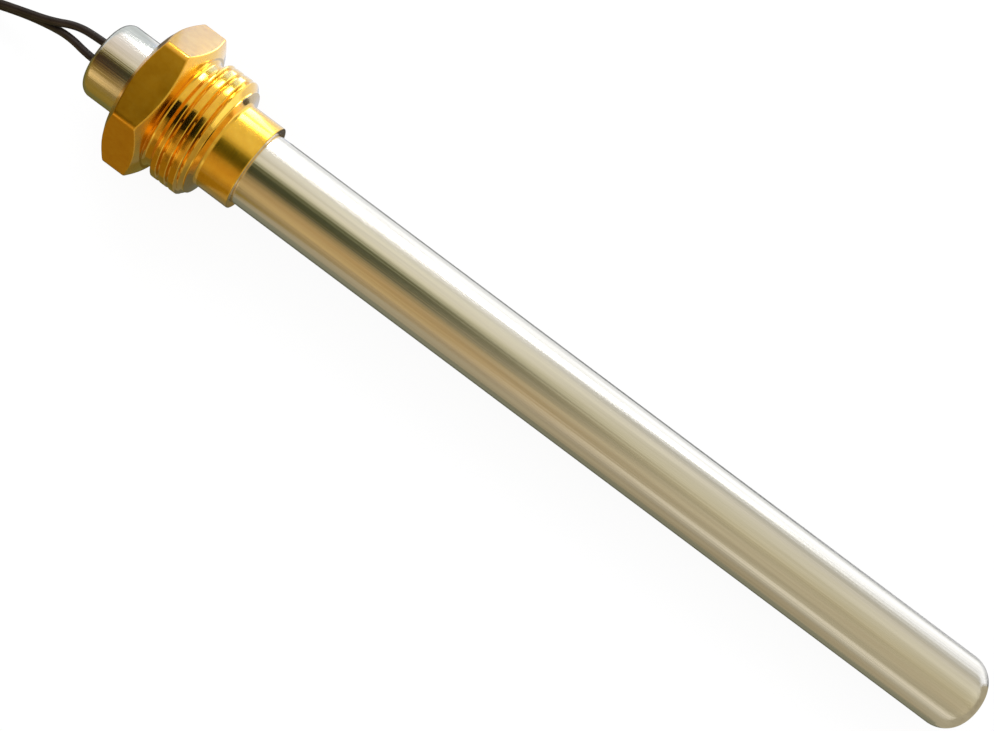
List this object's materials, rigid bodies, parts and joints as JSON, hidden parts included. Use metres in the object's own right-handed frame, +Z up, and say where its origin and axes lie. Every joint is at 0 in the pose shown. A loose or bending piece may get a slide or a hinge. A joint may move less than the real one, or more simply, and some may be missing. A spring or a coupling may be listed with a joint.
{
  "type": "pellet stove igniter",
  "caption": "Screw-in cartridge igniter for a pellet stove: polished steel heater rod in a brass hexagon fitting with an external thread, and two thin leads at its back end.",
  "frame": {"origin": "on the surface that the igniter lies on, under the middle of the rigid part's length (leads left out)", "axes": "+X from the leads' end to the hot tip along the heater, +Y sideways, +Z up; the heater's axis dips about 2 degrees towards the tip"},
  "size_m": [0.1848, 0.0208, 0.0181],
  "materials": {
    "sheath_steel": "polished stainless steel with fine lengthwise streaks",
    "brass": "turned and polished brass",
    "mica": "matt",
    "ceramic": "matt, unglazed",
    "nickel_chrome": "drawn wire",
    "magnesia": "pressed powder",
    "plug_ceramic": "matt, unglazed",
    "cement": "matt, grainy",
    "nickel": "drawn nickel",
    "glass_sleeve": "braided glass fibre",
    "lead_insulation": "satin, dark brown-black",
    "ferrule_metal": "tinned copper",
    "tie_plastic": "matt"
  },
  "bodies": {
    "root": {"brass_fitting": "brass", "cement_seal": "cement", "ceramic_core": "ceramic", "crimp_1": "nickel", "crimp_2": "nickel", "end_plug": "plug_ceramic", "hank_tie": "tie_plastic", "heating_wire": "nickel_chrome", "insulating_sleeve_1": "glass_sleeve", "insulating_sleeve_2": "glass_sleeve", "lead_1": "lead_insulation", "lead_1_ferrule": "ferrule_metal", "lead_1_hank": "lead_insulation", "lead_1_root": "lead_insulation", "lead_2": "lead_insulation", "lead_2_ferrule": "ferrule_metal", "lead_2_hank": "lead_insulation", "lead_2_root": "lead_insulation", "magnesia_fill": "magnesia", "rear_spacer": "ceramic", "sheath_tube": "sheath_steel", "terminal_pin_1": "nickel", "terminal_pin_2": "nickel", "tip_disc": "sheath_steel", "tip_insulator": "mica"}
  },
  "joints": []
}
